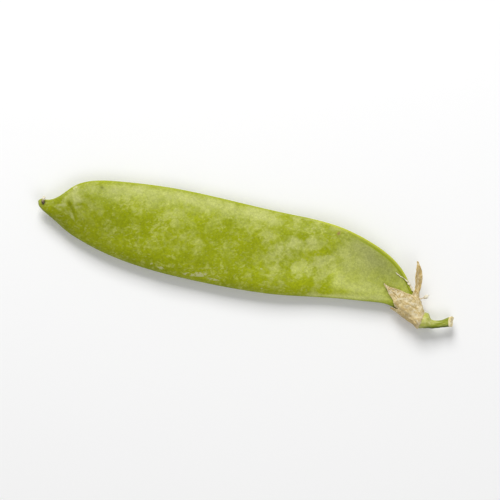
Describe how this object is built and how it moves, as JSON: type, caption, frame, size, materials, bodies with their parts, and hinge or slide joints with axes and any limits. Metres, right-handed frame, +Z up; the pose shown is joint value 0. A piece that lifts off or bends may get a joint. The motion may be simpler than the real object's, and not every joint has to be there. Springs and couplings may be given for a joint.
{
  "type": "sugar snap pea",
  "caption": "One picked edible pea pod lying on its side, flat and gently curved, with a beaked tip, a dry papery calyx and a short bent green stalk.",
  "frame": {"origin": "middle of the footprint, on the surface that the pod lies on", "axes": "+X along the pod from the beak to the stalk, +Y towards the seeded seam, +Z up"},
  "size_m": [0.103, 0.0238, 0.0067],
  "materials": {
    "pod_skin": "satin",
    "dry_calyx": "matte",
    "green_stalk": "satin",
    "dried_threads": "matte"
  },
  "bodies": {
    "root": {"pod": "pod_skin", "calyx_cup": "dry_calyx", "sepal_face": "dry_calyx", "sepal_upright": "dry_calyx", "sepal_low_edge": "dry_calyx", "sepal_under_low": "dry_calyx", "sepal_under_high": "dry_calyx", "pedicel": "green_stalk", "style_remnant": "dried_threads", "stamen_thread": "dried_threads", "stamen_sheath": "dried_threads"}
  },
  "joints": []
}
